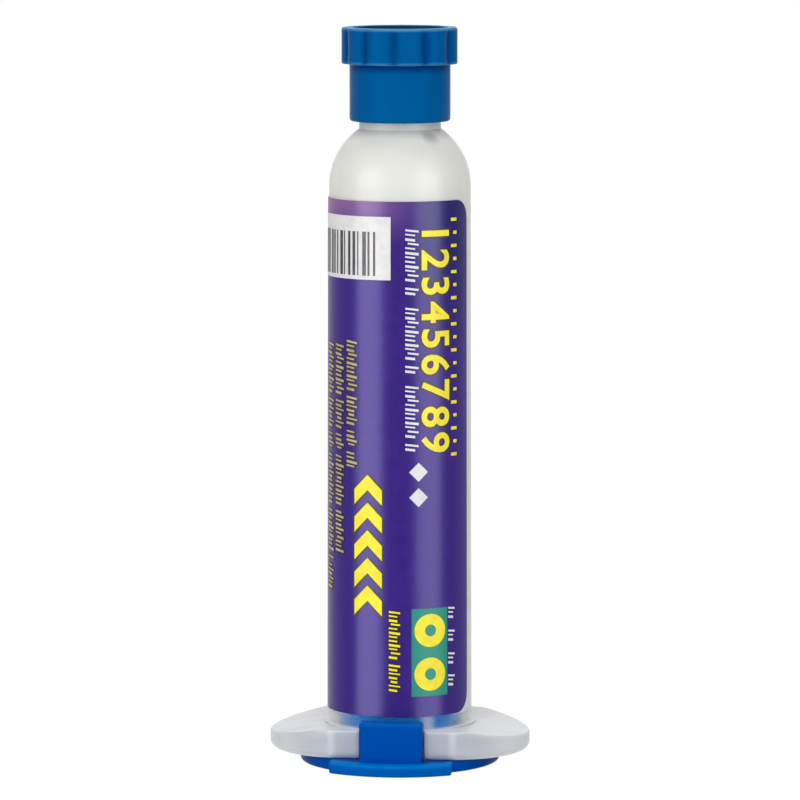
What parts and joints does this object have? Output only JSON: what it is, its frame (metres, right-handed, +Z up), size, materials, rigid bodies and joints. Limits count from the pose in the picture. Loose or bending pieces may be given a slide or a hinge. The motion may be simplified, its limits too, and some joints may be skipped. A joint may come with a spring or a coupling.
{
  "type": "flux syringe",
  "caption": "Upright dispensing syringe barrel of flux paste with finger flange, screw-on tip cap, clip-in end cap, wiper piston and a printed wrap label.",
  "frame": {"origin": "centre of the end cap's underside, on the syringe's axis", "axes": "+Z up along the syringe's axis towards the tip, X along the finger flange's long way, -Y towards the label's front"},
  "size_m": [0.0332, 0.0288, 0.0931],
  "materials": {
    "barrel_plastic": "milky translucent polypropylene, smooth moulded",
    "cap_plastic": "blue polyethylene, satin gloss",
    "end_cap_plastic": "blue polyethylene, satin gloss",
    "piston_plastic": "white polyethylene, matt",
    "flux": "pale amber paste, soft sheen",
    "label_film": "purple printed film, satin",
    "white_ink": "white print, satin",
    "black_ink": "dark grey print, satin",
    "yellow_ink": "yellow print, satin",
    "teal_ink": "teal print, satin"
  },
  "bodies": {
    "barrel": {"barrel": "barrel_plastic", "flux_paste": "flux", "label": "label_film", "print_white": "white_ink", "print_black": "black_ink", "print_yellow": "yellow_ink", "print_teal": "teal_ink"},
    "tip_cap": {"tip_cap": "cap_plastic"},
    "end_cap": {"end_cap": "end_cap_plastic"},
    "piston": {"piston": "piston_plastic"}
  },
  "joints": [
    {"name": "tip_cap_off", "type": "slide", "parent": "barrel", "child": "tip_cap", "axis": [0, 0, 1], "range_m": [0, 0.02]},
    {"name": "end_cap_off", "type": "slide", "parent": "barrel", "child": "end_cap", "axis": [0, 0, -1], "range_m": [0, 0.02]},
    {"name": "piston_travel", "type": "slide", "parent": "barrel", "child": "piston", "axis": [0, 0, 1], "range_m": [0, 0.045], "deforming": ["flux_paste"]}
  ]
}
